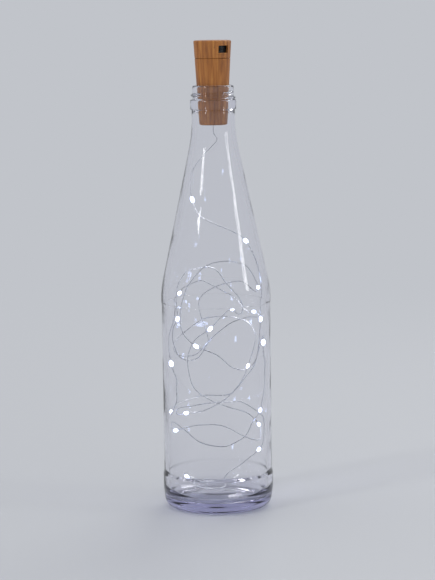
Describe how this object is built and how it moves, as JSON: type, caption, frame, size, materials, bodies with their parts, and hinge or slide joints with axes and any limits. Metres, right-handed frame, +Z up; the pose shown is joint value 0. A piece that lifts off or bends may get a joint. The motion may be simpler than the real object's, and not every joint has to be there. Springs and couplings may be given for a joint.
{
  "type": "cork bottle light",
  "caption": "Clear glass screw-neck bottle holding a battery-powered wire string of tiny lights that hangs from a cork-shaped stopper with a slide switch.",
  "frame": {"origin": "centre of the ring that the bottle stands on", "axes": "+Z up along the bottle's axis, -Y towards the picture's camera, +X to the right"},
  "size_m": [0.068, 0.068, 0.287],
  "materials": {
    "clear_glass": "clear, polished",
    "cork_brown_plastic": "satin, streaked like cork",
    "cream_resin": "satin",
    "black_plastic": "satin",
    "cell_steel": "bright",
    "contact_brass": "plain",
    "contact_steel": "plain",
    "green_board": "semi-gloss",
    "black_resistor": "semi-gloss",
    "solder": "bright",
    "switch_black": "semi-gloss",
    "switch_brown": "satin",
    "red_lead": "semi-gloss",
    "black_lead": "semi-gloss",
    "silver_wire": "varnished, bright",
    "lit_resin": "clear resin, lit cool white",
    "light_chip": "plain"
  },
  "bodies": {
    "bottle": {"bottle": "clear_glass", "wire_drop": "silver_wire", "wire_loops": "silver_wire", "led_drops": "lit_resin", "led_chips": "light_chip"},
    "stopper": {"cork_shell": "cork_brown_plastic", "wire_gland": "cream_resin", "inner_lead": "silver_wire"},
    "insert": {"cap": "cork_brown_plastic", "battery_holder": "black_plastic", "button_cell_top": "cell_steel", "button_cell_middle": "cell_steel", "button_cell_bottom": "cell_steel", "positive_contact": "contact_brass", "spring_contact": "contact_steel", "circuit_board": "green_board", "resistor": "black_resistor", "solder_joints": "solder", "switch_housing": "switch_black", "switch_base": "switch_brown", "switch_terminals": "contact_brass", "positive_lead": "red_lead", "negative_lead": "black_lead"},
    "switch_slider": {"switch_knob": "switch_black", "switch_wiper": "contact_brass"}
  },
  "joints": [
    {"name": "stopper_lift", "type": "slide", "parent": "bottle", "child": "stopper", "axis": [0, 0, 1], "range_m": [0, 0.04], "deforming": ["wire_drop"]},
    {"name": "insert_lift", "type": "slide", "parent": "stopper", "child": "insert", "axis": [0, 0, 1], "range_m": [0, 0.03], "deforming": ["inner_lead"]},
    {"name": "switch_slide", "type": "slide", "parent": "insert", "child": "switch_slider", "axis": [0.7986, 0.6018, 0], "range_m": [0, 0.002]}
  ]
}
